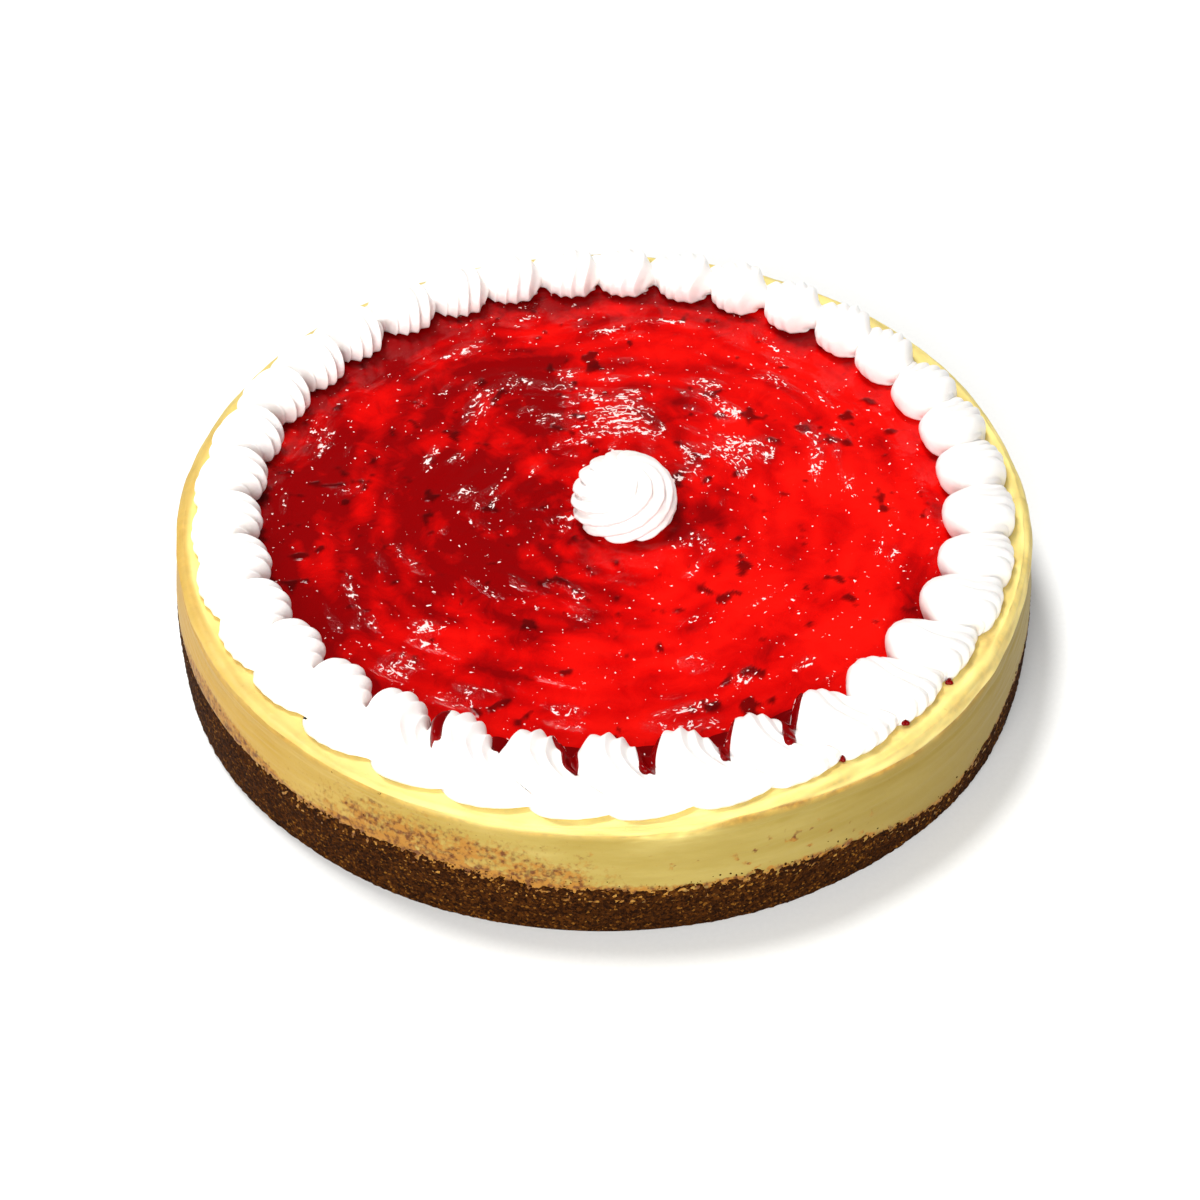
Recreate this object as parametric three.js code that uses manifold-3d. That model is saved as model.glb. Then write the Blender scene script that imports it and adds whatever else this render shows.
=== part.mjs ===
// A whole baked cheesecake: a biscuit crumb base, a baked filling with a puffy raised lip, a layer
// of strawberry glaze, a border of star-piped cream shells and one cream rosette on the glaze.
// Millimetres, +Z up. The origin is the middle of the underside, and -Y is the front.
import * as THREE from 'three';
import { LoftGeometry } from 'three/addons/geometries/LoftGeometry.js';
import { mergeGeometries, mergeVertices } from 'three/addons/utils/BufferGeometryUtils.js';
import Module from 'manifold-3d';

const wasm = await Module();
wasm.setup();

// Driving sizes
const footRadius = 127;
const shelfHeight = 38;
const lipHeight = 39.4;
const lipRadius = 121.2;
const lipInside = 119.8;
const frontStep = 2;
const lipDrop = 0.8;
const crumbHeight = 15.5;
const seamRim = footRadius - 0.5;
const seamShoulder = footRadius - 7;
const seamInner = 100;
const glazeRadius = 111.6;
const glazeDepth = 2.6;
const gap = 0.3;
const roundSegments = 64;
const glazeSegments = 40;

// The cream border: shells piped counterclockwise, each head laid over the tail before it. Their
// ridges run as arches from the inner foot over the top to the outer foot.
const shellCount = 35;
const borderRadius = 109.3;
const shellPitch = THREE.MathUtils.degToRad(360 / shellCount);
const firstJunction = THREE.MathUtils.degToRad(266.3);
const junctionToMiddle = 8.7 / borderRadius;
const spacingDrift = THREE.MathUtils.degToRad(0.9);
const driftDirection = THREE.MathUtils.degToRad(-5);
const shell = {
  height: 12.7,
  innerReach: 10.9,
  outerReach: 10,
  headInnerReach: 3.2,
  headOuterReach: 5.5,
  tailInnerReach: 2.6,
  tailOuterReach: 6.6,
  tailHeight: 4.6,
  crestLean: 2.4,
  headFront: -11,
  crestStart: -4,
  tailEnd: 12.5,
  innerBend: 2.6,
  tailInnerBend: -1.5,
  outerBend: 4.5,
  frontSweep: 7,
  ridges: 6,
  grooveDepth: 1.3,
  undercut: 0.45,
  archPoints: 7,
};

// The rosette: one turn of the star tip, its ridges rising counterclockwise
const rosette = {
  x: 6,
  y: -4.2,
  radius: 15.4,
  height: 17.8,
  ridges: 9,
  grooveDepth: 1.7,
  twist: 2.3,
  smoothRadius: 6,
  segments: 36,
};

const creamLook = { color: 0xfbf8f4, roughness: 0.55, metalness: 0 };
const crumbLook = { color: 0x6b3e1e, roughness: 0.95, metalness: 0 };
const fillingLook = { color: 0xd8c06a, roughness: 0.6, metalness: 0 };
const glazeLook = { color: 0xb80a0c, roughness: 0.12, metalness: 0 };

// A seeded source of even random numbers from 0 to 1
function seededRandom(seed) {
  let state = seed;
  return () => {
    state = (state * 1664525 + 1013904223) % 4294967296;
    return state / 4294967296;
  };
}

// 1 at the middle angle, fading to 0 over about the given half width, all in degrees
function lobe(angle, middle, halfWidth) {
  const turn = THREE.MathUtils.euclideanModulo(angle - middle + 180, 360) - 180;
  return Math.exp(-((turn / halfWidth) ** 2));
}

// Height of the line between crumb and filling at the wall: pressed up high at the left front,
// thin at the right front
function crumbLine(angle) {
  const degrees = THREE.MathUtils.radToDeg(angle);
  const high = 9 * lobe(degrees, 212, 17) + 5 * lobe(degrees, 247, 16);
  const low = 7.5 * lobe(degrees, 315, 15) + 2 * lobe(degrees, 231, 5);
  const ripple = 0.9 * Math.sin(5 * angle + 1) + 0.5 * Math.sin(11 * angle);
  return crumbHeight + high - low + ripple;
}

// 1 at the middle of the front left, where the cream was piped nearest to the rim
function frontShare(angle) {
  return lobe(THREE.MathUtils.radToDeg(angle), 255, 38);
}

// How far the wall stands out or in, as baked against its tin
function wallWave(angle) {
  return 0.3 * Math.sin(4 * angle - 1.4) + 0.2 * Math.sin(10 * angle + 2);
}

// Merges shared corners and drops the empty triangles, so that the skin is closed
function closeSkin(geometry) {
  const bare = new THREE.BufferGeometry();
  bare.setAttribute('position', geometry.attributes.position);
  bare.setIndex(geometry.index);
  const merged = mergeVertices(bare, 1e-3);
  const kept = [];
  const index = merged.index.array;
  for (let i = 0; i < index.length; i += 3) {
    const [a, b, c] = [index[i], index[i + 1], index[i + 2]];
    if (a !== b && b !== c && c !== a) {
      kept.push(a, b, c);
    }
  }
  merged.setIndex(kept);
  return merged;
}

// Turns the skin the right way out
function faceOut(geometry) {
  const place = geometry.attributes.position;
  const index = geometry.index.array;
  const corners = [new THREE.Vector3(), new THREE.Vector3(), new THREE.Vector3()];
  let volume = 0;
  for (let i = 0; i < index.length; i += 3) {
    corners.forEach((corner, k) => corner.fromBufferAttribute(place, index[i + k]));
    volume += corners[0].dot(corners[1].cross(corners[2])) / 6;
  }
  if (volume < 0) {
    geometry.setIndex(Array.from(index).reverse());
  }
  return geometry;
}

// Turns a profile of [radius, height] about the axis, then moves each point by shape(point, angle)
function revolve(profile, segments, shape) {
  const outline = profile.map(([radius, height]) => new THREE.Vector2(radius, height));
  const geometry = new THREE.LatheGeometry(outline, segments);
  geometry.rotateX(Math.PI / 2);
  const place = geometry.attributes.position;
  const point = new THREE.Vector3();
  for (let i = 0; i < place.count; i++) {
    point.fromBufferAttribute(place, i);
    shape(point, Math.atan2(point.y, point.x));
    place.setXYZ(i, point.x, point.y, point.z);
  }
  return faceOut(closeSkin(geometry));
}

// Moves a point outwards from the axis
function pushOut(point, distance) {
  const radius = Math.hypot(point.x, point.y);
  const scale = (radius + distance) / radius;
  point.x *= scale;
  point.y *= scale;
}

// The rim of each layer follows the crumb line, and its middle stays level
function followSeam(point, angle) {
  const radius = Math.hypot(point.x, point.y);
  const share = THREE.MathUtils.smoothstep(radius, seamInner, footRadius);
  point.z += share * (crumbLine(angle) - crumbHeight);
}

function crumbBase() {
  const footRound = 0.8;
  const profile = [
    [0, 0],
    [footRadius - footRound, 0],
    [footRadius, footRound],
    [footRadius - 0.1, crumbHeight / 2],
    [seamRim, crumbHeight],
    [seamShoulder, crumbHeight],
    [seamInner, crumbHeight],
    [0, crumbHeight],
  ];
  return revolve(profile, roundSegments, (point, angle) => {
    const radius = Math.hypot(point.x, point.y);
    if (point.z > crumbHeight - 0.01) {
      followSeam(point, angle);
    }
    if (radius > footRadius - 2) {
      pushOut(point, wallWave(angle));
    }
  });
}

// Its profile runs from the top down, so that its seam is split into triangles as the base's is
function filling() {
  const seam = crumbHeight + gap;
  const floor = shelfHeight - glazeDepth - gap;
  const profile = [
    [0, floor],
    [glazeRadius + gap, floor],
    [glazeRadius + gap, shelfHeight],
    [lipInside, shelfHeight],
    [lipRadius, lipHeight],
    [footRadius - 4, 38.4],
    [footRadius - 3.3, 35.8],
    [footRadius - 3.8, 32.6],
    [footRadius - 2.1, 27],
    [seamRim, seam],
    [seamShoulder, seam],
    [seamInner, seam],
    [0, seam],
  ];
  return revolve(profile, roundSegments, (point, angle) => {
    const radius = Math.hypot(point.x, point.y);
    if (point.z < seam + 0.01) {
      followSeam(point, angle);
    }
    if (radius > lipRadius) {
      pushOut(point, wallWave(angle));
    }
    if (point.z > shelfHeight - 0.01 && radius > lipInside - 0.01 && radius < lipRadius + 0.01) {
      pushOut(point, frontStep * frontShare(angle));
    }
    if (point.z > shelfHeight + 0.2) {
      point.z += 0.35 * Math.sin(9 * angle) + 0.25 * Math.sin(16 * angle + 1);
      point.z -= lipDrop * frontShare(angle);
    }
  });
}

function glaze() {
  const top = shelfHeight - 0.55;
  const rim = shelfHeight - gap;
  const profile = [
    [0, shelfHeight - glazeDepth],
    [glazeRadius, shelfHeight - glazeDepth],
    [glazeRadius, rim],
    [104, rim],
    [80, top],
    [54, top],
    [28, top],
    [0, top],
  ];
  return revolve(profile, glazeSegments, (point) => {
    if (point.z > top - 0.01 && point.z < top + 0.01) {
      point.z += 0.2 * Math.sin(point.x / 9 + point.y / 17) + 0.12 * Math.sin(point.y / 6);
    }
  });
}

// Height and place of the crest at share a of the way from the head's foot to the tail's end:
// a steep quarter round at the head, then a long slope down to the tail
const headShare = 1 / 3;

function crestAt(a, form) {
  const headLength = form.crestStart - form.headFront;
  if (a < headShare) {
    const turn = (a / headShare) * (Math.PI / 2);
    const along = form.crestStart - headLength * Math.cos(turn);
    return { along, height: form.height * Math.sin(turn) };
  }
  const share = (a - headShare) / (1 - headShare);
  const drop = (form.height - form.tailHeight) * share ** 1.6;
  const along = form.crestStart + (form.tailEnd - form.crestStart) * share;
  return { along, height: form.height - drop };
}

// Share of the head that is open at share a, then share of the tail that is still full: both ends
// close in a round
function fullness(a) {
  const tailStart = 0.36;
  const tailClose = 0.91;
  if (a < headShare) {
    return Math.sin((a / headShare) * (Math.PI / 2));
  }
  const share = THREE.MathUtils.clamp((a - tailStart) / (tailClose - tailStart), 0, 1);
  return 1 - share ** 2.2;
}

// One arch of cream from the inner foot over the top to the outer foot, both feet swept on
// counterclockwise. Grooves lie lower than crests by the groove depth, and grow makes the whole
// shell thicker by that much.
function shellArch(a, depth, form, grow) {
  const { along, height } = crestAt(a, form);
  const full = Math.min(1, height / 4);
  const rise = height - depth * full;
  const width = fullness(a);
  const atTail = a > headShare;
  const innerEnd = atTail ? form.tailInnerReach : form.headInnerReach;
  const outerEnd = atTail ? form.tailOuterReach : form.headOuterReach;
  const inner = THREE.MathUtils.lerp(innerEnd, form.innerReach, width) - depth * full;
  const outer = THREE.MathUtils.lerp(outerEnd, form.outerReach, width) - 0.4 * depth * full;
  const innerBend = THREE.MathUtils.lerp(form.tailInnerBend, form.innerBend, atTail ? width : 1);
  const tuck = Math.asin(form.undercut * full);
  const floor = shelfHeight + gap;
  const arch = [];
  for (let k = 0; k < form.archPoints; k++) {
    const atFoot = k === 0 || k === form.archPoints - 1;
    const turn = -tuck + (Math.PI + 2 * tuck) * (k / (form.archPoints - 1));
    const side = Math.cos(turn);
    const bend = (side > 0 ? innerBend : form.outerBend) * side ** 2;
    const lift = (Math.sin(turn) + Math.sin(tuck)) / (1 + Math.sin(tuck));
    const angle = form.angle + (along + grow * (2 * a - 1) + bend) / borderRadius;
    const spread = (side > 0 ? inner : outer) + (atFoot ? 2 * grow : grow);
    const reach = spread * side + form.crestLean * lift * full;
    const radius = borderRadius + form.offset - reach;
    arch.push(new THREE.Vector3(
      radius * Math.cos(angle),
      radius * Math.sin(angle),
      floor + rise * lift + grow * (atFoot ? -1 : 2 * full - 1),
    ));
  }
  return arch;
}

// The flat foot, facing down: round the head along its lowest arch, along the outer feet to the
// tail, and back along the inner feet
function shellFoot(arches) {
  const outer = arches.map((arch) => arch[arch.length - 1]);
  const inner = arches.map((arch) => arch[0]);
  const outline = [...arches[0], ...outer.slice(1), ...inner.slice(1).reverse()];
  const foot = new THREE.ShapeGeometry(new THREE.Shape(outline));
  foot.translate(0, 0, outline[0].z);
  foot.setIndex(Array.from(foot.index.array).reverse());
  return foot;
}

function shellSkin(form, grow) {
  const strips = 2 * form.ridges;
  const arches = [];
  for (let k = 0; k <= strips; k++) {
    const groove = k % 2 === 0 ? form.grooveDepth : 0;
    arches.push(shellArch(k / strips, groove, form, grow));
  }
  const top = new LoftGeometry(arches, { closed: false, capEnd: true });
  return closeSkin(mergeGeometries([top, shellFoot(arches)]));
}

function toManifold(geometry) {
  const vertProperties = new Float32Array(geometry.attributes.position.array);
  const triVerts = new Uint32Array(geometry.index.array);
  return new wasm.Manifold(new wasm.Mesh({ numProp: 3, vertProperties, triVerts }));
}

function toGeometry(manifold) {
  const mesh = manifold.getMesh();
  const geometry = new THREE.BufferGeometry();
  geometry.setAttribute('position', new THREE.BufferAttribute(mesh.vertProperties, 3));
  geometry.setIndex(Array.from(mesh.triVerts));
  return geometry;
}

function cornerAt(geometry, i) {
  return new THREE.Vector3().fromBufferAttribute(geometry.attributes.position, i);
}

// For every side [low corner, high corner] of the skin, the triangles on it
function sidesOf(triangles) {
  const sides = new Map();
  triangles.forEach((triangle, t) => {
    triangle.forEach((corner, k) => {
      const next = triangle[(k + 1) % 3];
      const key = `${Math.min(corner, next)} ${Math.max(corner, next)}`;
      sides.set(key, [...(sides.get(key) ?? []), t]);
    });
  });
  return sides;
}

// The corners joined to one corner by a side
function neighbours(triangles, corner) {
  return new Set(triangles.filter((triangle) => triangle.includes(corner)).flat());
}

// Joins the two corners of the first side shorter than least that keeps the skin closed
function joinShortSide(geometry, triangles, least) {
  for (const key of sidesOf(triangles).keys()) {
    const [a, b] = key.split(' ').map(Number);
    const length = cornerAt(geometry, a).distanceTo(cornerAt(geometry, b));
    const round = neighbours(triangles, b);
    const shared = [...neighbours(triangles, a)].filter((c) => c !== a && c !== b && round.has(c));
    if (length < least && shared.length === 2) {
      return triangles
        .map((triangle) => triangle.map((corner) => (corner === b ? a : corner)))
        .filter((triangle) => new Set(triangle).size === 3);
    }
  }
  return null;
}

// Turns the long side of the first triangle thinner than least, towards its third corner
function turnThinSide(geometry, triangles, least) {
  const sides = sidesOf(triangles);
  for (const [t, triangle] of triangles.entries()) {
    const points = triangle.map((corner) => cornerAt(geometry, corner));
    const lengths = points.map((point, k) => point.distanceTo(points[(k + 1) % 3]));
    const k = lengths.indexOf(Math.max(...lengths));
    const thickness = (2 * new THREE.Triangle(...points).getArea()) / lengths[k];
    const [a, b, c] = [triangle[k], triangle[(k + 1) % 3], triangle[(k + 2) % 3]];
    const pair = sides.get(`${Math.min(a, b)} ${Math.max(a, b)}`);
    const other = pair[0] === t ? pair[1] : pair[0];
    const d = triangles[other].find((corner) => corner !== a && corner !== b);
    const open = !sides.has(`${Math.min(c, d)} ${Math.max(c, d)}`);
    if (thickness < least && open) {
      const turned = triangles.slice();
      turned[t] = [a, d, c];
      turned[other] = [d, b, c];
      return turned;
    }
  }
  return null;
}

// A cut leaves slivers where two skins nearly meet: short sides are joined, and thin triangles
// are taken up by their neighbours
function mendSlivers(geometry) {
  const shortest = 0.15;
  const thinnest = 0.01;
  const rounds = 300;
  const index = Array.from(geometry.index.array);
  let triangles = [];
  for (let i = 0; i < index.length; i += 3) {
    triangles.push(index.slice(i, i + 3));
  }
  for (let round = 0; round < rounds; round++) {
    const mended = joinShortSide(geometry, triangles, shortest)
      ?? turnThinSide(geometry, triangles, thinnest);
    if (!mended) {
      break;
    }
    triangles = mended;
  }
  geometry.setIndex(triangles.flat());
  return closeSkin(geometry);
}

// A cut can leave small loose scraps beside the main body, which are dropped
function largestBody(manifold) {
  return manifold.decompose().reduce((best, body) => (body.volume() > best.volume() ? body : best));
}

// Sizes of every shell, a little uneven as piped by hand: taller and swept further round at the
// front, with softer ridges at the right
function shellForms() {
  const random = seededRandom(35);
  const vary = (amount) => amount * (2 * random() - 1);
  const forms = [];
  for (let i = 0; i < shellCount; i++) {
    const even = firstJunction + i * shellPitch;
    const drift = spacingDrift * Math.cos(even - driftDirection);
    const front = frontShare(even);
    const right = lobe(THREE.MathUtils.radToDeg(even), 342, 45);
    const scale = 1 + vary(0.035);
    forms.push({
      ...shell,
      angle: even + drift + junctionToMiddle + vary(0.8) / borderRadius,
      offset: vary(0.35),
      height: shell.height * (scale + 0.05 * front + vary(0.03)),
      innerReach: shell.innerReach * scale,
      outerReach: shell.outerReach + frontStep * front + vary(0.2),
      tailOuterReach: shell.tailOuterReach + frontStep * front,
      tailHeight: shell.tailHeight + vary(0.8),
      outerBend: shell.outerBend + shell.frontSweep * front + vary(1),
      grooveDepth: shell.grooveDepth * (1 - 0.4 * right + vary(0.12)),
    });
  }
  return forms;
}

// A shell without its grooves, a gap larger at the head and on all sides
function roomFor(form) {
  const smooth = { ...form, grooveDepth: 0 };
  const headwards = [gap * Math.sin(form.angle), -gap * Math.cos(form.angle), 0];
  const moved = toManifold(shellSkin(smooth, 0)).translate(headwards);
  return toManifold(shellSkin(smooth, gap)).add(moved);
}

// Each shell's tail is cut back to leave room for the head that lies over it
function creamShells() {
  const forms = shellForms();
  return forms.map((form, i) => {
    const next = forms[(i + 1) % forms.length];
    const whole = toManifold(shellSkin(form, 0));
    return mendSlivers(toGeometry(largestBody(whole.subtract(roomFor(next)))));
  });
}

// A round mound of cream whose ridges wind round it as they rise to a blunt top
function creamRosette() {
  const form = rosette;
  const levels = 8;
  const base = shelfHeight + gap;
  const tuck = 0.35;
  const profile = [[0, 0]];
  for (let k = 0; k < levels; k++) {
    const turn = -tuck + (Math.PI / 2 + tuck) * (k / levels);
    const rise = (Math.sin(turn) + Math.sin(tuck)) / (1 + Math.sin(tuck));
    profile.push([form.radius * Math.cos(turn), form.height * rise]);
  }
  profile.push([0, form.height]);
  const geometry = revolve(profile, form.segments, (point, angle) => {
    const radius = Math.hypot(point.x, point.y);
    const rise = point.z / form.height;
    const phase = form.ridges * (angle - form.twist * rise);
    const wave = Math.abs(Math.sin(phase / 2));
    if (radius > 0.5) {
      pushOut(point, -form.grooveDepth * (1 - wave) * Math.min(1, radius / form.smoothRadius));
    }
  });
  geometry.translate(form.x, form.y, base);
  return geometry;
}

const cheesecake = new THREE.Group();

function addPiece(name, geometry, look) {
  const mesh = new THREE.Mesh(geometry, new THREE.MeshStandardMaterial(look));
  mesh.name = name;
  cheesecake.add(mesh);
}

addPiece('crumb_base', crumbBase(), crumbLook);
addPiece('filling', filling(), fillingLook);
addPiece('strawberry_glaze', glaze(), glazeLook);
creamShells().forEach((geometry, i) => {
  addPiece(`cream_shell_${String(i + 1).padStart(2, '0')}`, geometry, creamLook);
});
addPiece('cream_rosette', creamRosette(), creamLook);

export default cheesecake;
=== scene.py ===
import math

import bpy
import numpy as np
from mathutils import Matrix, Vector
from mathutils.bvhtree import BVHTree


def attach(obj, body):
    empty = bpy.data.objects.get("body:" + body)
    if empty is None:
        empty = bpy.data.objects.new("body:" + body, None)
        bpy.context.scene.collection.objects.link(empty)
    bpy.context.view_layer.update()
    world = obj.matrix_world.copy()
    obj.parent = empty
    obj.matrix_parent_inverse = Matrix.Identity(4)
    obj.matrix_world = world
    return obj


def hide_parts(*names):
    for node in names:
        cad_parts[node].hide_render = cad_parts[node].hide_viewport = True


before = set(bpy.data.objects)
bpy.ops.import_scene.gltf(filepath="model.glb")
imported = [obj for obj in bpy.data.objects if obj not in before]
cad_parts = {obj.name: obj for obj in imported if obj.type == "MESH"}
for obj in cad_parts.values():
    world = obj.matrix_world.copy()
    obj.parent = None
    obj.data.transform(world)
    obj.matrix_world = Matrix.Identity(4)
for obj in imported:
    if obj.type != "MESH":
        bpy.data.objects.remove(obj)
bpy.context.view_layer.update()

# A baked cheesecake with strawberry glaze and piped cream. Sizes below are millimetres and become
# metres when a mesh is made. Angles turn counterclockwise from +X, and -Y (270 degrees) is the front.
mm = 0.001

cake = {
    "footRadius": 127.0,
    "footRound": 0.8,       # height of the small round at the foot
    "shelfHeight": 38.0,    # the shelf carries the cream
    "creamFloor": 38.3,
    "lipInside": 119.8,
    "lipHeight": 39.4,
    "frontStep": 2.0,       # how far the lip stands out at the front
    "crumbHeight": 15.5,
    "glazeRadius": 111.6,
    "wallSteps": 1200,      # points round the wall
    # the wall in profile
    "wallHeights": [0, 0.8, 8, 16, 20, 27, 32.6, 35.8, 38.4, 39.4],
    "wallRadii": [126.2, 127, 126.95, 126.7, 126.2, 125, 123.7, 123.8, 123, 121.2],
    # where the crumb is pressed up high or lies thin: height, direction and half width in degrees
    "crumbRises": [(9, 212, 17), (5, 247, 16), (-7.5, 315, 15), (-2, 231, 5)],
}


def lobe(angle, middle, halfWidth):
    # 1 in the middle direction, fading to 0 on both sides
    turn = (np.degrees(angle) - middle + 180) % 360 - 180
    return np.exp(-(turn / halfWidth) ** 2)


def hump(value, middle, halfWidth):
    # the same along a height or a share
    return np.exp(-((value - middle) / halfWidth) ** 2)


def blend(first, second, share):
    return first + (second - first) * share


def smoothStep(value, low, high):
    # also falls, when low is above high
    share = np.clip((value - low) / (high - low), 0, 1)
    return share * share * (3 - 2 * share)


def evenHash(x, y, z, seed):
    number = (x * 374761393 + y * 668265263 + z * 1440662683 + seed * 974711) & 0xFFFFFFFF
    number = ((number ^ (number >> 13)) * 1274126177) & 0xFFFFFFFF
    return (number ^ (number >> 16)) / 2147483648.0 - 1


def noiseAt(x, y, z, seed):
    # smooth lumps from about -1 to 1, one lump for each unit of x, y and z: slopes are drawn at the
    # corners of a grid and blended between them
    place = np.stack(np.broadcast_arrays(x, y, z), -1).astype(float)
    cell = np.floor(place).astype(np.int64)
    part = place - cell
    ease = part ** 3 * (part * (part * 6 - 15) + 10)
    total = 0
    for corner in range(8):
        step = np.array([corner & 1, corner >> 1 & 1, corner >> 2 & 1])
        weight = np.prod(np.where(step, ease, 1 - ease), axis=-1)
        at = np.moveaxis(cell + step, -1, 0)
        slope = np.stack([evenHash(*at, seed + 101 * axis) for axis in (1, 2, 3)], -1)
        total = total + weight * np.sum(slope * (part - step), axis=-1)
    return 1.7 * total


def fullTurn(steps):
    return np.linspace(0, 2 * math.pi, steps, endpoint=False)[None, :]


def ringPoints(radius, angle, z):
    return np.stack([radius * np.cos(angle), radius * np.sin(angle), z], -1)


def gridFaces(rows, columns, wrap):
    row = np.arange(rows - 1)[:, None]
    column = np.arange(columns if wrap else columns - 1)[None, :]
    first = row * columns + column
    second = row * columns + (column + 1) % columns
    return np.stack([first, second, second + columns, first + columns], -1).reshape(-1, 4).tolist()


def closedFaces(rows, columns):
    # rings joined one to the next, with a face over the first and the last
    faces = gridFaces(rows, columns, True)
    faces.append(list(range(columns))[::-1])
    faces.append([(rows - 1) * columns + i for i in range(columns)])
    return faces


def makePiece(name, points, faces, material, body="root"):
    mesh = bpy.data.meshes.new(name)
    mesh.from_pydata((points.reshape(-1, 3) * mm).tolist(), [], faces)
    mesh.update()
    mesh.shade_smooth()
    mesh.materials.append(material)
    piece = bpy.data.objects.new(name, mesh)
    bpy.context.scene.collection.objects.link(piece)
    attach(piece, body)
    return piece


def paint(piece, name, values):
    # one number per point, read by the piece's material
    layer = piece.data.attributes.new(name, "FLOAT", "POINT")
    layer.data.foreach_set("value", np.ascontiguousarray(values, dtype=np.float32).ravel())


def linear(hexColour):
    parts = [int(hexColour[i:i + 2], 16) / 255 for i in (1, 3, 5)]
    return tuple(p / 12.92 if p <= 0.04045 else ((p + 0.055) / 1.055) ** 2.4 for p in parts) + (1,)


def fillInputs(tree, node, inputs):
    # plain values are set, hex colours turned to linear and the outputs of other nodes linked
    for key, value in inputs.items():
        if isinstance(value, bpy.types.NodeSocket):
            tree.links.new(value, node.inputs[key])
        else:
            node.inputs[key].default_value = linear(value) if isinstance(value, str) else value


def addNode(tree, kind, inputs=None, stops=None, **properties):
    # stops are the places and colours of a ramp
    node = tree.nodes.new(kind)
    for key, value in properties.items():
        setattr(node, key, value)
    fillInputs(tree, node, inputs or {})
    if stops:
        elements = node.color_ramp.elements
        while len(elements) < len(stops):
            elements.new(0.5)
        for element, (position, colour) in zip(elements, stops):
            element.position = position
            element.color = linear(colour)
    return node


def startMaterial(name):
    material = bpy.data.materials.new(name)
    material.use_nodes = True
    tree = material.node_tree
    shader = tree.nodes["Principled BSDF"]
    place = addNode(tree, "ShaderNodeTexCoord").outputs["Object"]
    return material, tree, shader, place


def perMetre(size):
    # a texture's scale from the size in millimetres of one of its lumps
    return 1 / (size * mm)


# The wall

def crumbLine(angle):
    rises = sum(height * lobe(angle, middle, half) for height, middle, half in cake["crumbRises"])
    return cake["crumbHeight"] + rises + 0.9 * np.sin(5 * angle + 1) + 0.5 * np.sin(11 * angle)


def wallWave(angle):
    return 0.3 * np.sin(4 * angle - 1.4) + 0.2 * np.sin(10 * angle + 2)


def wallRadius(height):
    return np.interp(height, cake["wallHeights"], cake["wallRadii"])


def frontShare(angle):
    return lobe(angle, 255, 38)


crumbSettings = {
    "grain": 0.65,          # size of the biscuit grains
    "clump": 1.5,           # size of the clumps they are pressed into
    "crack": 0.8,           # size of the gaps between them
    "relief": 0.42,         # how far clumps stand in or out
    "raggedEdge": 1.9,      # how far the upper edge wanders
    "rows": 34,
    "underside": [100, 126],    # radii of the two rings of the flat foot
    "patch": 6.25,          # size of the fat stains
    "grit": 0.7143,
    "gritDepth": 0.35,
    "dark": "#220e02",
    "middle": "#3f2005",
    "brown": "#542d09",
    "light": "#86571d",
    "stain": "#b0a49a",
}


def crumbMaterial(settings):
    # biscuit ground to grains and pressed with butter: dark where fat has soaked in, tan where a grain
    # has broken
    material, tree, shader, place = startMaterial("pressed biscuit crumb")
    grains = addNode(tree, "ShaderNodeTexVoronoi", {"Scale": perMetre(settings["grain"]), "Vector": place})
    broad = addNode(tree, "ShaderNodeTexNoise",
                    {"Scale": perMetre(settings["patch"]), "Detail": 3, "Vector": place})
    grit = addNode(tree, "ShaderNodeTexNoise",
                   {"Scale": perMetre(settings["grit"]), "Detail": 2, "Vector": place})
    tone = addNode(tree, "ShaderNodeSeparateColor", {"Color": grains.outputs["Color"]})
    colour = addNode(tree, "ShaderNodeValToRGB", {"Fac": tone.outputs["Red"]}, [
        (0.05, settings["dark"]), (0.6, settings["middle"]),
        (0.9, settings["brown"]), (1.0, settings["light"]),
    ])
    shade = addNode(tree, "ShaderNodeValToRGB", {"Fac": broad.outputs["Fac"]},
                    [(0.3, settings["stain"]), (0.7, "#ffffff")])
    stained = addNode(tree, "ShaderNodeMix", {0: 0.8, 6: colour.outputs["Color"], 7: shade.outputs["Color"]},
                      data_type="RGBA", blend_type="MULTIPLY")
    height = addNode(tree, "ShaderNodeMath", {0: grains.outputs["Distance"], 1: grit.outputs["Fac"]},
                     operation="ADD")
    relief = addNode(tree, "ShaderNodeBump",
                     {"Strength": 1.0, "Distance": settings["gritDepth"] * mm, "Height": height.outputs[0]})
    fillInputs(tree, shader, {
        "Base Color": stained.outputs[2],
        "Normal": relief.outputs["Normal"],
        "Roughness": 0.9,                   # dry crumb, hardly any sheen
        "Specular IOR Level": 0.05,
        "IOR": 1.45,
    })
    return material


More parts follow.
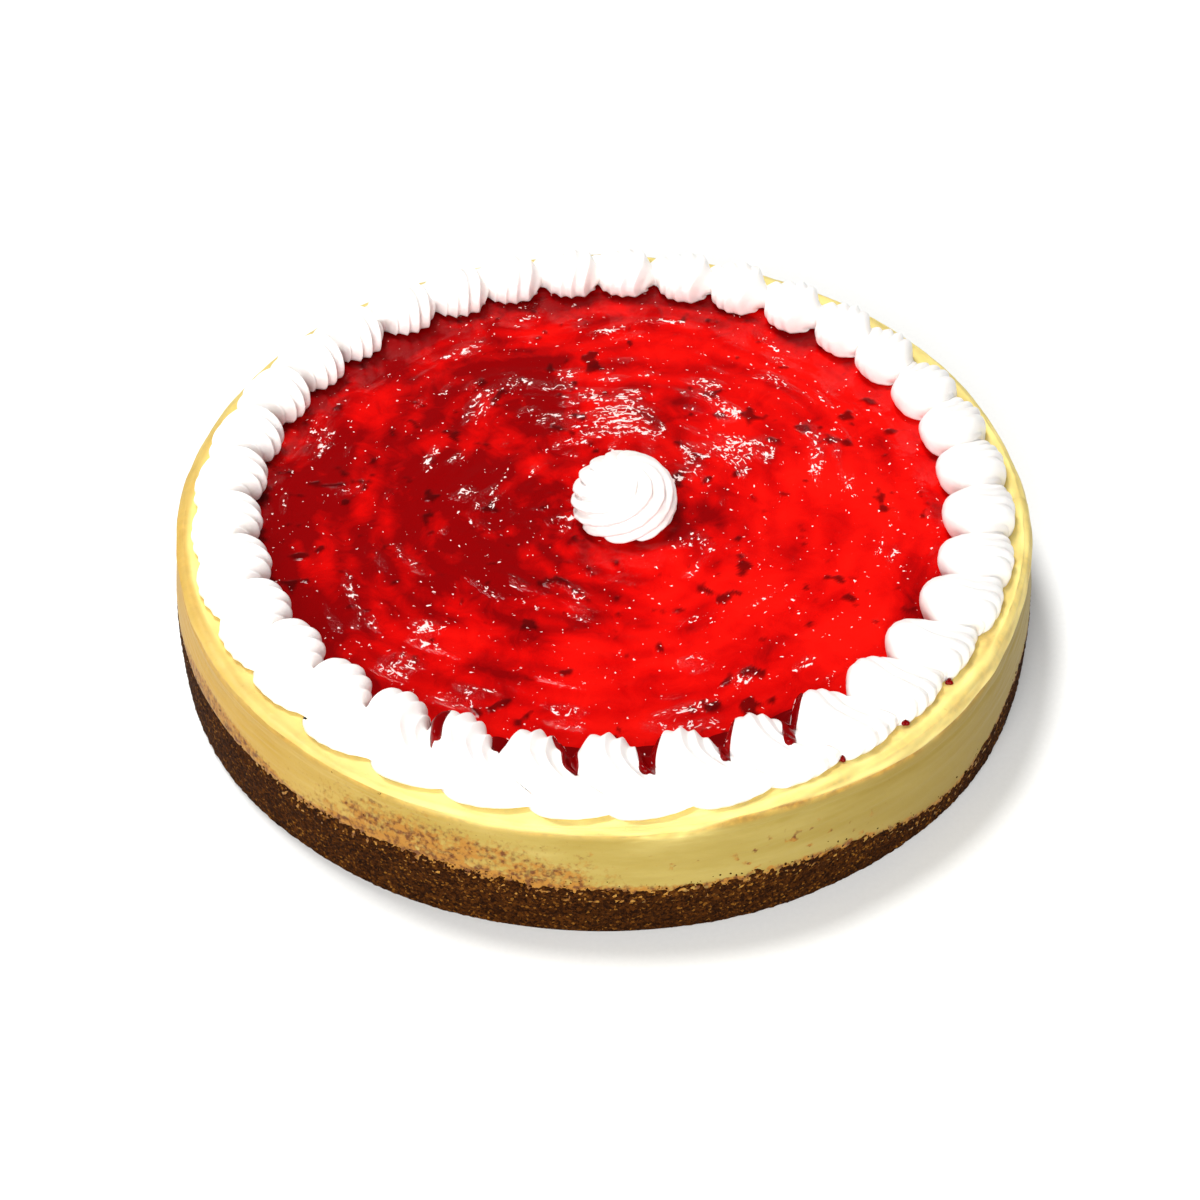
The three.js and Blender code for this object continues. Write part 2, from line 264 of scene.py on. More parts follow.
def buildCrumbBase(settings, material):
    steps = cake["wallSteps"]
    angle = fullTurn(steps)
    around = angle * cake["footRadius"]
    line = crumbLine(angle)
    share = np.linspace(0, 1, settings["rows"])[:, None]
    z = cake["footRound"] + share * (line + settings["raggedEdge"] + 2 - cake["footRound"])
    clump, crack, ragged = settings["clump"], settings["crack"], settings["raggedEdge"]
    clumps = noiseAt(around / clump, z / clump, 0, 3) + 0.6 * noiseAt(around / crack, z / crack, 0, 4)
    # above the line the crumb sinks behind the filling, so that its edge is ragged
    edge = ragged * (noiseAt(around / 3.2, z / 3.2, 0, 5) + 0.6 * noiseAt(around / 1.1, z / 1.1, 0, 6))
    sink = 0.9 * smoothStep(z - line - edge - 0.8, -0.6, 1.6)
    out = np.minimum(0, -0.12 + settings["relief"] * (clumps - 0.7) * 0.5) - sink
    radius = wallRadius(z) + wallWave(angle) + out
    foot = np.broadcast_to(np.array(settings["underside"], dtype=float)[:, None], (2, steps))
    radius = np.vstack([foot, radius, radius[-1:] - 8])
    z = np.vstack([np.zeros((2, steps)), z, z[-1:]])
    points = ringPoints(radius, angle, z)
    piece = makePiece("crumbBase", points, closedFaces(len(points), steps), material)
    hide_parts("crumb_base")
    print("crumb base built")


fillingSettings = {
    "crease": 0.8,          # depth of the fold under the puffy rim
    "creaseWidth": 0.9,
    "secondCrease": 0.4,    # a smaller fold 4 mm below it, at the right front
    "bulge": 0.5,           # how far the rim puffs out above the fold
    "streak": 0.16,         # depth of the marks drawn round the wall
    "crumbGap": 0.35,       # how far the wall lies behind the face of the crumb
    "wallRows": 60,
    # the bed of the glaze, the shelf of the cream and the inner slope of the lip, in profile
    "bedRadii": [100, 111.9, 111.9, 113, 117, 119, 119.8, 120.3, 120.8, 121.2],
    "bedHeights": [35.1, 35.1, 38, 38, 38.25, 38.75, 39, 39.15, 39.3, 39.4],
    # height of the fold by direction
    "creaseAt": [0, 60, 120, 180, 216, 231, 239, 256, 272, 279, 286, 293, 300, 312, 322, 345, 360],
    "creaseHeights": [34, 34.5, 35, 36, 37.4, 37.2, 37, 35.4, 35, 35, 36.8, 36.6, 35, 33, 33.4, 33.8, 34],
    "drawn": 26.3,          # length of the colour streaks, five times their height
    "mottle": 2.381,
    "crumbSpeck": 1.5625,
    "crumbGrain": 1.1111,
    "skinDepth": 0.2,
    "custard": "#a39047",
    "shade": "#9a863b",
    "pale": "#b09e57",
    # painted light: the left of the wall is painted golden, where more light falls on it
    "paintedLightGold": "#b98f3c",
    # painted shade: the right of the wall is painted darker
    "rightShade": "#8d7631",
    # painted light: the top of the lip is painted pale
    "rim": "#ffec94",
    "golden": "#d79a34",
    "brown": "#8a5418",
    "darkCrumb": "#64370e",
    "paleCrumb": "#a26f24",
}


def creaseLine(angle, settings):
    # height of the fold between the puffy rim and the wall
    return np.interp(np.degrees(angle) % 360, settings["creaseAt"], settings["creaseHeights"])


def fillingMaterial(settings):
    # baked custard: an even matt yellow wall, drawn out in streaks where it left its tin, and browned
    # skin on the rim. Painted light turns the left of the wall golden and the top of the lip pale, and
    # painted shade darkens the right of the wall
    material, tree, shader, place = startMaterial("baked custard")
    painted = {name: addNode(tree, "ShaderNodeAttribute", attribute_name=name).outputs["Fac"]
               for name in ("browning", "dust", "paintedLightLeft", "paintedShadeRight", "rim")}
    stretch = addNode(tree, "ShaderNodeMapping", {"Scale": (1, 1, 5), "Vector": place}).outputs["Vector"]
    streaks = addNode(tree, "ShaderNodeTexNoise",
                      {"Scale": perMetre(settings["drawn"]), "Detail": 5, "Roughness": 0.55, "Vector": stretch})
    mottle = addNode(tree, "ShaderNodeTexNoise",
                     {"Scale": perMetre(settings["mottle"]), "Detail": 4, "Vector": place})
    colour = addNode(tree, "ShaderNodeValToRGB", {"Fac": streaks.outputs["Fac"]}, [
        (0.32, settings["shade"]), (0.5, settings["custard"]), (0.7, settings["pale"]),
    ]).outputs["Color"]
    # painted light on the left of the wall, painted shade on its right, and painted light on the top of the lip
    for share, tint in (("paintedLightLeft", "paintedLightGold"), ("paintedShadeRight", "rightShade"), ("rim", "rim")):
        colour = addNode(tree, "ShaderNodeMix", {0: painted[share], 6: colour, 7: settings[tint]},
                         data_type="RGBA").outputs[2]
    skin = addNode(tree, "ShaderNodeValToRGB", {"Fac": mottle.outputs["Fac"]},
                   [(0.35, settings["brown"]), (0.62, settings["golden"])])
    colour = addNode(tree, "ShaderNodeMix", {0: painted["browning"], 6: colour, 7: skin.outputs["Color"]},
                     data_type="RGBA").outputs[2]
    # crumb rubbed on to the wall breaks up into grains
    specks = addNode(tree, "ShaderNodeTexNoise",
                     {"Scale": perMetre(settings["crumbSpeck"]), "Detail": 3, "Vector": place})
    crumbs = addNode(tree, "ShaderNodeValToRGB", {"Fac": specks.outputs["Fac"]},
                     [(0.38, settings["darkCrumb"]), (0.56, settings["paleCrumb"])])
    grains = addNode(tree, "ShaderNodeTexNoise",
                     {"Scale": perMetre(settings["crumbGrain"]), "Detail": 2, "Vector": place})
    dusty = addNode(tree, "ShaderNodeMath", {0: painted["dust"], 1: grains.outputs["Fac"]}, operation="ADD")
    share = addNode(tree, "ShaderNodeMapRange", {0: dusty.outputs[0], 1: 0.7, 2: 1.15})
    colour = addNode(tree, "ShaderNodeMix", {0: share.outputs[0], 6: colour, 7: crumbs.outputs["Color"]},
                     data_type="RGBA").outputs[2]
    height = addNode(tree, "ShaderNodeMath", {0: streaks.outputs["Fac"], 1: mottle.outputs["Fac"]},
                     operation="ADD")
    relief = addNode(tree, "ShaderNodeBump",
                     {"Strength": 0.6, "Distance": settings["skinDepth"] * mm, "Height": height.outputs[0]})
    fillInputs(tree, shader, {
        "Base Color": colour,
        "Normal": relief.outputs["Normal"],
        "Roughness": 0.5,                   # soft sheen of cooked egg and cream
        "Specular IOR Level": 0.25,
        "IOR": 1.45,
        "Subsurface Weight": 0.15,
        "Subsurface Radius": (1.0, 0.7, 0.3),
        "Subsurface Scale": 2 * mm,
    })
    return material


def outerFace(settings, angle):
    # from the lip down to a little below the crumb line
    around = angle * cake["footRadius"]
    crease = creaseLine(angle, settings)
    bottom = crumbLine(angle) - 4
    share = np.linspace(0, 1, settings["wallRows"])[1:, None]
    height = cake["lipHeight"] - (cake["lipHeight"] - bottom) * share ** 1.25
    upper = smoothStep(height, 37.6, cake["lipHeight"])
    radius = wallRadius(height) + wallWave(angle) + cake["frontStep"] * frontShare(angle) * upper
    foldDepth = settings["crease"] * (0.6 + 0.5 * noiseAt(around / 14, 0, 0, 11))
    fold = foldDepth * (0.35 + 0.65 * lobe(angle, 310, 60)) * hump(height, crease, settings["creaseWidth"])
    second = hump(height, crease - 4.2 - noiseAt(around / 20, 0, 0, 12), 0.5) * lobe(angle, 318, 35)
    bulge = settings["bulge"] * hump(height, crease + 2, 1.6) * (1 + 0.6 * noiseAt(around / 12, 0, 0, 20))
    streak = noiseAt(around / 16, height / 1.1, 0, 13) + 0.5 * noiseAt(around / 7, height / 0.6, 0, 14)
    radius += bulge - fold - settings["secondCrease"] * second
    radius += settings["streak"] * (streak - 0.5) * (1 - upper)
    radius = np.minimum(radius, wallRadius(np.minimum(height, 20)) + wallWave(angle) - settings["crumbGap"])
    # the edge of the lip wanders
    radius = radius + upper * (0.35 * noiseAt(around / 10, 0, 0, 35) + 0.2 * noiseAt(around / 3.5, 0, 0, 36))
    return radius, height, upper


def paintFilling(piece, settings, angle, radius, z):
    around = angle * cake["footRadius"]
    crease = creaseLine(angle, settings)
    brown = hump(z, crease, 1.1) * (0.25 + 0.75 * lobe(angle, 318, 34))
    golden = 0.35 * smoothStep(z, 34, 37) * (0.4 + 0.6 * lobe(angle, 320, 50))
    patches = 0.6 + 0.6 * noiseAt(around / 9, z / 1.5, 0, 16)
    paint(piece, "browning", np.clip((brown + golden) * patches, 0, 1))
    # painted light: the left of the wall is painted golden
    paint(piece, "paintedLightLeft", 0.85 * lobe(angle, 198, 45) + 0 * z)
    # painted shade: the right of the wall is painted darker
    paint(piece, "paintedShadeRight", 0.85 * lobe(angle, 322, 36) + 0 * z)
    # the top of the lip is painted paler, as painted light, with one painted highlight patch below it at the
    # front, and it stays golden inside at the left
    ease = smoothStep(z, crease - 1.6, crease + 2.2)
    ease = ease * (0.72 + 0.3 * noiseAt(around / 11, radius / 2, z / 2, 19))
    # painted highlight: one pale patch on the wall below the lip at the front
    pale = 0.6 * lobe(angle, 277.5, 4.5) * hump(z, 34.6, 1.7) * (0.7 + 0.6 * noiseAt(around / 4, z, 0, 37))
    inLeft = lobe(angle, 188, 40) * smoothStep(radius, 118.5, 121)
    paint(piece, "rim", np.clip(ease + pale, 0, 1) * (1 - 0.8 * inLeft))
    # crumb rubbed into the custard: thick at the left front, a thin stain all along the line, and
    # stray specks
    above = z - crumbLine(angle)
    cloud = noiseAt(around / 6, z / 5, 0, 17) + 0.7 * noiseAt(around / 1.7, z / 1.5, 0, 18)
    smear = (lobe(angle, 247, 13) + 0.5 * lobe(angle, 262, 9)) * np.clip(1.4 - above / 12, 0, 1)
    stain = hump(np.maximum(above - 0.8, 0), 0, 1.4)
    stray = noiseAt(around / 2.4, z / 2, 0, 33) + 0.5 * noiseAt(around / 9, z / 6, 0, 34)
    specks = smoothStep(stray, 0.32, 0.7) * (0.1 + 0.9 * lobe(angle, 293, 14) * smoothStep(above, 16, 8))
    paint(piece, "dust", np.clip(smear * (0.78 + 0.6 * cloud), 0, 0.68) + 0.6 * stain + 0.8 * specks)


def buildFilling(settings, material):
    steps = cake["wallSteps"]
    angle = fullTurn(steps)
    around = angle * cake["footRadius"]
    front = frontShare(angle)
    inner = np.array(settings["bedRadii"])[:, None]
    level = np.array(settings["bedHeights"])[:, None]
    innerRadius = inner + cake["frontStep"] * front * smoothStep(inner, 117, cake["lipInside"])
    outerRadius, outerHeight, upper = outerFace(settings, angle)
    # the lip rises and sinks round the cake, and lies lower at the front
    wave = 0.35 * np.sin(9 * angle) + 0.25 * np.sin(16 * angle + 1) - 0.8 * front
    wave = wave + 0.25 * noiseAt(around / 5, 0, 0, 15)
    lip = smoothStep(level, cake["shelfHeight"], cake["lipHeight"])
    radius = np.vstack([innerRadius, outerRadius, outerRadius[-1:] - 20])
    z = np.vstack([level + lip * wave, outerHeight + wave * upper, outerHeight[-1:]])
    points = ringPoints(radius, angle, z)
    # the rings run from the middle outwards, so the faces are turned to look out
    faces = [face[::-1] for face in closedFaces(len(points), steps)]
    piece = makePiece("filling", points, faces, material)
    paintFilling(piece, settings, angle, radius, z)
    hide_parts("filling")
    print("filling built")


glazeSettings = {
    "steps": 290,
    "below": 0.55,          # how far it lies below the shelf
    "edgeDrop": 2.6,        # how far its edge reaches down
    "ripple": 0.2,          # height of the marks left by spreading
    "lump": 0.14,           # height of the small fruit lumps
    "fruitRise": 0.3,       # how far larger fruit pieces lift it
    # where the skin is most wrinkled: x, y, slope, half sizes and weight
    "wrinkled": [
        (6, 40, 0.35, 36, 22, 0.85), (-32, 3, 0, 11, 12, 0.5), (-40, -70, 0.2, 24, 12, 0.45),
        (22, -84, 0, 16, 9, 0.4), (62, 24, 1.2, 10, 22, 0.4), (30, -22, 0.2, 14, 10, 0.35),
    ],
    # where it lies thick and dark: x, y, half size and share
    "thick": [(-32, -2, 27, 0.2), (4, -20, 22, 0.16)],
    "fruitShare": 0.8,      # how dark the fruit pieces look through the jelly
    "cloud": 9.091,         # sizes of the patterns in the jelly
    "curl": 4.762,
    "curlBreak": 1.786,
    "dash": 2.8,
    "pulp": 1.923,
    "fibre": 0.9091,
    "pulpDepth": 0.7,
    "strokeWidth": 0.95,
    "bright": "#ea1008",
    "red": "#c40403",
    "deep": "#800002",
    "fruit": "#3a0102",
    # painted highlights: the colour of the small white glints
    "glint": "#ffe2dd",
}


def paintedGlints(tree, settings, place, painted):
    # painted highlights as short curls: the places where a broad noise crosses its middle, broken up by a finer
    # one
    curves = addNode(tree, "ShaderNodeTexNoise",
                     {"Scale": perMetre(settings["curl"]), "Detail": 2, "Distortion": 0.8, "Vector": place})
    breaks = addNode(tree, "ShaderNodeTexNoise",
                     {"Scale": perMetre(settings["curlBreak"]), "Detail": 2, "Roughness": 0.6, "Vector": place})
    off = addNode(tree, "ShaderNodeMath", {0: curves.outputs["Fac"], 1: 0.5}, operation="SUBTRACT")
    away = addNode(tree, "ShaderNodeMath", {0: off.outputs[0]}, operation="ABSOLUTE")
    thin = addNode(tree, "ShaderNodeMapRange", {0: away.outputs[0], 1: 0.018, 2: 0.038, 3: 1.0, 4: 0.0})
    curlHere = addNode(tree, "ShaderNodeMath", {0: painted["wrinkle"], 1: 0.22, 2: breaks.outputs["Fac"]},
                       operation="MULTIPLY_ADD")
    parts = addNode(tree, "ShaderNodeMapRange", {0: curlHere.outputs[0], 1: 0.68, 2: 0.72, 3: 0.0, 4: 0.95})
    curls = addNode(tree, "ShaderNodeMath", {0: thin.outputs[0], 1: parts.outputs[0]}, operation="MULTIPLY")
    # longer painted highlights, dashes, lie along the strokes: their noise changes fast across a stroke and
    # slowly along it
    scaled = addNode(tree, "ShaderNodeVectorMath", {0: place, "Scale": perMetre(settings["dash"])},
                     operation="SCALE")
    split = addNode(tree, "ShaderNodeSeparateXYZ", {0: scaled.outputs[0]})
    drawn = addNode(tree, "ShaderNodeCombineXYZ",
                    {0: split.outputs[0], 1: split.outputs[1], 2: painted["stroke"]})
    lines = addNode(tree, "ShaderNodeTexNoise", {"Scale": 1, "Detail": 1, "Vector": drawn.outputs[0]})
    dashHere = addNode(tree, "ShaderNodeMath", {0: painted["wrinkle"], 1: 0.17, 2: lines.outputs["Fac"]},
                       operation="MULTIPLY_ADD")
    dashes = addNode(tree, "ShaderNodeMapRange", {0: dashHere.outputs[0], 1: 0.785, 2: 0.82, 3: 0.0, 4: 0.95})
    return addNode(tree, "ShaderNodeMath", {0: curls.outputs[0], 1: dashes.outputs[0]}, operation="MAXIMUM")


def glazeMaterial(settings):
    # clear fruit jelly over pulp: wet and glossy, deep red where it lies thick and bright where it is thin.
    # Small white curls and dashes are painted highlights, laid where fine wrinkles and fibres are
    material, tree, shader, place = startMaterial("strawberry glaze")
    painted = {name: addNode(tree, "ShaderNodeAttribute", attribute_name=name).outputs["Fac"]
               for name in ("tone", "fruit", "wrinkle", "stroke")}
    cloud = addNode(tree, "ShaderNodeTexNoise", {
        "Scale": perMetre(settings["cloud"]), "Detail": 6, "Roughness": 0.6, "Distortion": 0.8, "Vector": place,
    })
    level = addNode(tree, "ShaderNodeMath", {0: cloud.outputs["Fac"], 1: 0.55, 2: painted["tone"]},
                    operation="MULTIPLY_ADD")
    colour = addNode(tree, "ShaderNodeValToRGB", {"Fac": level.outputs[0]}, [
        (0.3, settings["deep"]), (0.52, settings["red"]), (0.85, settings["bright"]),
    ]).outputs["Color"]
    glintShare = paintedGlints(tree, settings, place, painted)
    # dark fruit pieces, then the painted highlights
    for share, tint in ((painted["fruit"], "fruit"), (glintShare.outputs[0], "glint")):
        colour = addNode(tree, "ShaderNodeMix", {0: share, 6: colour, 7: settings[tint]},
                         data_type="RGBA").outputs[2]
    pulp = addNode(tree, "ShaderNodeTexNoise", {
        "Scale": perMetre(settings["pulp"]), "Detail": 3, "Roughness": 0.6, "Distortion": 1.2, "Vector": place,
    })
    fibres = addNode(tree, "ShaderNodeTexNoise",
                     {"Scale": perMetre(settings["fibre"]), "Detail": 2, "Distortion": 2.0, "Vector": place})
    both = addNode(tree, "ShaderNodeMath", {0: fibres.outputs["Fac"], 1: 0.45, 2: pulp.outputs["Fac"]},
                   operation="MULTIPLY_ADD")
    height = addNode(tree, "ShaderNodeMath", {0: both.outputs[0], 1: painted["wrinkle"]}, operation="MULTIPLY")
    relief = addNode(tree, "ShaderNodeBump",
                     {"Strength": 1.0, "Distance": settings["pulpDepth"] * mm, "Height": height.outputs[0]})
    fillInputs(tree, shader, {
        "Base Color": colour,
        "Normal": relief.outputs["Normal"],
        "Roughness": 0.06,                  # wet jelly
        "IOR": 1.4,
        "Specular IOR Level": 0.13,
    })
    return material


def discGrid(steps, radius):
    # a square grid drawn on to the disc, so that it is even all over
    side = np.linspace(-1, 1, steps)
    x, y = np.meshgrid(side, side)
    flat = np.abs(x) > np.abs(y)
    arm = np.where(flat, x, y)
    with np.errstate(divide="ignore", invalid="ignore"):
        turn = np.where(flat, math.pi / 4 * y / x, math.pi / 2 - math.pi / 4 * x / y)
    turn = np.nan_to_num(turn)
    return radius * arm * np.cos(turn), radius * arm * np.sin(turn)


def buildGlaze(settings, material):
    steps, edge = settings["steps"], cake["glazeRadius"]
    x, y = discGrid(steps, edge)
    radius = np.hypot(x, y)
    # the glaze was spread in rounds about the middle, so its marks run round, each a little off true
    strokeX, strokeY = x + 6 * noiseAt(x / 40, y / 40, 0, 27), y + 6 * noiseAt(x / 40, y / 40, 1, 28)
    stroke = np.hypot(strokeX, strokeY)
    cosine, sine = strokeX / (stroke + 1e-6), strokeY / (stroke + 1e-6)

    def strokeNoise(width, turns, seed):
        return noiseAt(stroke / width, turns * cosine, turns * sine, seed)

    z = cake["shelfHeight"] - settings["below"] + 0.2 * np.sin(x / 9 + y / 17) + 0.12 * np.sin(y / 6)
    z += settings["ripple"] * (strokeNoise(4.5, 3.5, 21) + 0.5 * strokeNoise(1.9, 9, 22))
    patch = 0.8 * noiseAt(x / 15, y / 15, 0, 23) + 0.8 * strokeNoise(4, 5, 29)
    for middleX, middleY, lean, halfX, halfY, weight in settings["wrinkled"]:
        offX = x - middleX
        patch += weight * np.exp(-(offX / halfX) ** 2 - ((y - middleY + lean * offX) / halfY) ** 2)
    wrinkle = smoothStep(patch, 0.3, 1.0)
    z += settings["lump"] * (0.35 + wrinkle) * noiseAt(x / 2.1, y / 2.1, 0, 24)
    grain = noiseAt(x / 6, y / 6, 0, 25) + 0.4 * noiseAt(x / 2.4, y / 2.4, 0, 30)
    fruit = smoothStep(grain + 0.45 * noiseAt(x / 24, y / 24, 0, 26), 0.48, 0.82)
    z += settings["fruitRise"] * fruit
    z = np.where(radius > 104, np.maximum(z, cake["shelfHeight"] - 0.5), z)     # full under the cream
    z = np.where(radius > edge - 0.01, cake["shelfHeight"] - settings["edgeDrop"], z)
    piece = makePiece("strawberryGlaze", np.stack([x, y, z], -1), gridFaces(steps, steps, False), material)
    # thinner and brighter to the right and the front, thicker and darker left of the middle and at the edge
    tone = 0.11 + 0.3 * smoothStep(0.8 * x - 0.45 * y, -60, 100) - 0.2 * smoothStep(radius, 88, 106)
    for middleX, middleY, half, share in settings["thick"]:
        tone -= share * np.exp(-((x - middleX) ** 2 + (y - middleY) ** 2) / half ** 2)
    tone += 0.24 * noiseAt(strokeX / 22, strokeY / 22, 0.5, 31) + 0.16 * strokeNoise(5, 4, 32)
    paint(piece, "tone", tone)
    paint(piece, "fruit", settings["fruitShare"] * fruit)
    paint(piece, "stroke", stroke / settings["strokeWidth"])
    paint(piece, "wrinkle", 0.06 + 0.94 * wrinkle)
    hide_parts("strawberry_glaze")
    print("glaze built")


creamSettings = {
    "shells": 35,
    "borderRadius": 109.3,
    "firstJunction": 266.3,     # degrees, at the front
    "junctionToMiddle": 8.7,
    "height": 12.7,
    "innerReach": 10.9,
    "outerReach": 10.0,
    "headInnerReach": 3.2,
    "headOuterReach": 5.5,
    "tailInnerReach": 2.6,
    "tailOuterReach": 6.6,
    "tailHeight": 4.6,
    # places along the shell, from its middle
    "headFront": -11,
    "crestStart": -4,
    "tailEnd": 12.5,
    "headShare": 1 / 3,         # share of the arches that make the head
    "ridges": 6,
    "grooveDepth": 1.3,
    "undercut": 0.45,
    "crestLean": 2.4,
    "hem": 0.7,                 # a low fold at the outer foot of the front shells
    "alongSteps": 96,
    "acrossSteps": 40,
    "seed": 35,
    "airHole": 0.6667,
    "patch": 11.11,
    "white": "#fbf8f5",
    "ivory": "#f6f1ec",
}


def creamMaterial(settings):
    # whipped cream: white and matt, with light passing a little way in, and fine air holes
    material, tree, shader, place = startMaterial("whipped cream")
    holes = addNode(tree, "ShaderNodeTexNoise",
                    {"Scale": perMetre(settings["airHole"]), "Detail": 3, "Vector": place})
    patches = addNode(tree, "ShaderNodeTexNoise",
                      {"Scale": perMetre(settings["patch"]), "Detail": 2, "Vector": place})
    colour = addNode(tree, "ShaderNodeValToRGB", {"Fac": patches.outputs["Fac"]},
                     [(0.3, settings["ivory"]), (0.7, settings["white"])])
    relief = addNode(tree, "ShaderNodeBump",
                     {"Strength": 0.5, "Distance": 0.12 * mm, "Height": holes.outputs["Fac"]})
    fillInputs(tree, shader, {
        "Base Color": colour.outputs["Color"],
        "Normal": relief.outputs["Normal"],
        "Roughness": 0.45,                  # fat and air, no gloss
        "IOR": 1.45,
        "Subsurface Weight": 0.2,
        "Subsurface Radius": (1.0, 0.8, 0.7),
        "Subsurface Scale": 1.5 * mm,
    })
    return material


def seededNumbers(seed):
    state = seed
    while True:
        state = (state * 1664525 + 1013904223) % 4294967296
        yield state / 4294967296


def shellForms(settings):
    # every shell a little uneven, as piped by hand: taller and swept further round at the front, with
    # soft ridges at the right
    numbers = seededNumbers(settings["seed"])

    def vary(amount):
        return amount * (2 * next(numbers) - 1)

    forms = []
    for i in range(settings["shells"]):
        even = math.radians(settings["firstJunction"] + i * 360 / settings["shells"])
        drift = math.radians(0.9) * math.cos(even + math.radians(5))
        front = float(frontShare(even))
        right = float(lobe(even, 342, 45))
        back = float(lobe(even, 155, 60))
        scale = 1 + vary(0.035)
        forms.append({
            "angle": even + drift + (settings["junctionToMiddle"] + vary(0.8)) / settings["borderRadius"],
            "offset": vary(0.35),
            "height": settings["height"] * (scale + 0.05 * front + vary(0.03)),
            "innerReach": settings["innerReach"] * scale,
            "outerReach": settings["outerReach"] + 2 * front + vary(0.2),
            "tailOuterReach": settings["tailOuterReach"] + 2 * front,
            "tailHeight": settings["tailHeight"] + vary(0.8),
            "outerBend": 4.5 + 7 * front + 1.5 * right + vary(1),
            "grooveDepth": settings["grooveDepth"] * (1 - 0.4 * right + 0.3 * back + vary(0.12)),
            "soft": min(1, 1.25 * float(lobe(even, 350, 62))),
            "smoothFoot": min(1, 1.2 * front),
            "open": float(lobe(even, 178, 50)),
        })
    return forms


def shellGrooves(form, settings, a, side, lift, full):
    # the star tip leaves sharp crests and round grooves, which have slumped to round crests at the right
    sharp = np.abs(np.cos(settings["ridges"] * math.pi * a)) ** 1.3
    soft = (1 - np.abs(np.sin(settings["ridges"] * math.pi * a))) ** 1.15
    depth = form["grooveDepth"] * full * blend(sharp, soft, form["soft"])
    # the grooves of the right shells fade towards the glaze, those of the left shells open towards it,
    # and those of the front shells fade towards the outer foot
    depth = depth * (1 - 0.9 * form["soft"] * smoothStep(side, -0.7, 0.5))
    depth = depth * (1 + 0.9 * form["open"] * smoothStep(a, 0.4, 0.8) * smoothStep(side, 0, 0.8))
    foot = smoothStep(lift, 0.7, 0.15) * smoothStep(side, 0, -0.5)
    return depth * (1 - form["smoothFoot"] * foot)


def shellPoints(form, settings, seed):
    # arches of cream from the inner foot over the top to the outer foot, from the head to the tail
    a = np.linspace(0, 1, settings["alongSteps"] + 1)[:, None]
    k = np.linspace(0, 1, settings["acrossSteps"] + 1)[None, :]
    headShare, crest = settings["headShare"], settings["crestStart"]
    head = a < headShare
    turn = np.minimum(a / headShare, 1) * math.pi / 2
    share = np.clip((a - headShare) / (1 - headShare), 0, 1)
    along = np.where(head, blend(crest, settings["headFront"], np.cos(turn)),
                     blend(crest, settings["tailEnd"], share))
    height = np.where(head, form["height"] * np.sin(turn),
                      blend(form["height"], form["tailHeight"], share ** 1.6))
    width = np.where(head, np.sin(turn), 1 - np.clip((a - 0.36) / 0.55, 0, 1) ** 2.2)
    full = np.minimum(1, height / 4)
    inner = blend(np.where(head, settings["headInnerReach"], settings["tailInnerReach"]),
                  form["innerReach"], width)
    outer = blend(np.where(head, settings["headOuterReach"], form["tailOuterReach"]),
                  form["outerReach"], width)
    innerBend = blend(-1.5, 2.6, np.where(head, 1, width))
    tuck = np.arcsin(settings["undercut"] * full)
    around = -tuck + (math.pi + 2 * tuck) * k
    side = np.cos(around)       # 1 at the inner foot, -1 at the outer one
    lift = (np.sin(around) + np.sin(tuck)) / (1 + np.sin(tuck))
    bend = np.where(side > 0, innerBend, form["outerBend"]) * side ** 2
    angle = form["angle"] + (along + bend) / settings["borderRadius"]
    depth = shellGrooves(form, settings, a, side, lift, full)
    fold = smoothStep(lift, 0.3, 0.2) - 0.8 * hump(lift, 0.33, 0.07)
    hem = settings["hem"] * form["smoothFoot"] * fold * smoothStep(side, 0, -0.5)
    outerFoot = outer - (0.4 + 0.5 * form["soft"]) * depth + hem
    reach = np.where(side > 0, inner - depth, outerFoot) * side + settings["crestLean"] * lift * full
    radius = settings["borderRadius"] + form["offset"] - reach
    z = cake["creamFloor"] + (height - depth) * lift
    radius = radius + 0.12 * noiseAt(angle * 60, z / 2.5, radius / 3, seed)
    z = z + 0.15 * lift * noiseAt(angle * 40, radius / 3, 0, seed + 1)
    return ringPoints(radius, angle, z)


def buildShells(settings, material):
    shells = []
    for i, form in enumerate(shellForms(settings)):
        points = shellPoints(form, settings, 40 + i)
        piece = makePiece(f"creamShell{i + 1:02d}", points, closedFaces(*points.shape[:2]), material)
        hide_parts(f"cream_shell_{i + 1:02d}")
        shells.append(piece)
    print("cream shells built")
    return shells


runSettings = {
    # each run: degrees at its root and at its tip, radius at both, and half its width
    "runs": [
        (244.8, 247.3, 98, 112.3, 1.9), (253.6, 254.4, 96, 105.5, 1.2), (264.0, 265.5, 96, 111.4, 2.4),
        (276.4, 275.4, 96, 113.0, 2.5), (288.2, 285.9, 96, 112.3, 1.7), (299.2, 294.6, 96, 114.0, 2.2),
    ],
    "fill": 0.8,            # how thick the glaze lies on the cream
    "most": 1.1,            # how far it may stand above the cream beside it
    # drops at the outer foot of the cream, at the right front
    "drops": [(60.8, -100.9, 39.1), (78.4, -88.8, 39.4), (91.7, -73.8, 38.9)],
    "dropSize": 1.05,
    "dark": 0.3,            # share of the dark fruit colour laid evenly over the runs and drops, which darkens them
    "steps": 48,
    "across": 17,
}


def spread(heights, how, reach):
    # the highest or the mean of the neighbours of each place in a grid
    rows, columns = heights.shape
    padded = np.pad(heights, reach, mode="edge")
    size = 2 * reach + 1
    parts = [padded[i:i + rows, j:j + columns] for i in range(size) for j in range(size)]
    return how(np.stack(parts), axis=0)


